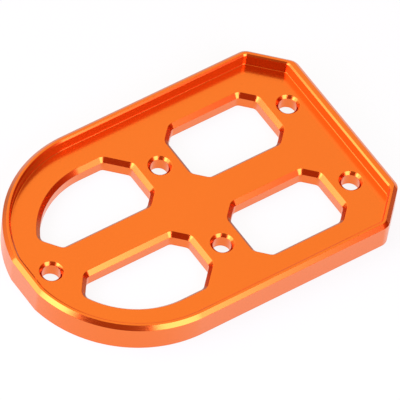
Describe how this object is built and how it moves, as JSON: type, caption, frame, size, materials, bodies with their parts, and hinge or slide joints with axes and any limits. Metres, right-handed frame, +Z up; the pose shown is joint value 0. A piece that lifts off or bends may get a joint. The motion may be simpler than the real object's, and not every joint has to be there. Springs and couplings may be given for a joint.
{
  "type": "foot peg platform plate",
  "caption": "Flat top plate of a wide motorcycle foot peg, with a rounded nose, a raised bevelled rim, lightening windows and screw holes.",
  "frame": {"origin": "centre of the plate's box, on its flat underside", "axes": "+X along the plate from the rounded nose to the square end, +Y across it, +Z up out of the face that the boot stands on"},
  "size_m": [0.0896, 0.06, 0.0075],
  "materials": {
    "anodised_aluminium": "milled and anodised orange, satin to semi-gloss"
  },
  "bodies": {
    "root": {"peg_platform": "anodised_aluminium"}
  },
  "joints": []
}
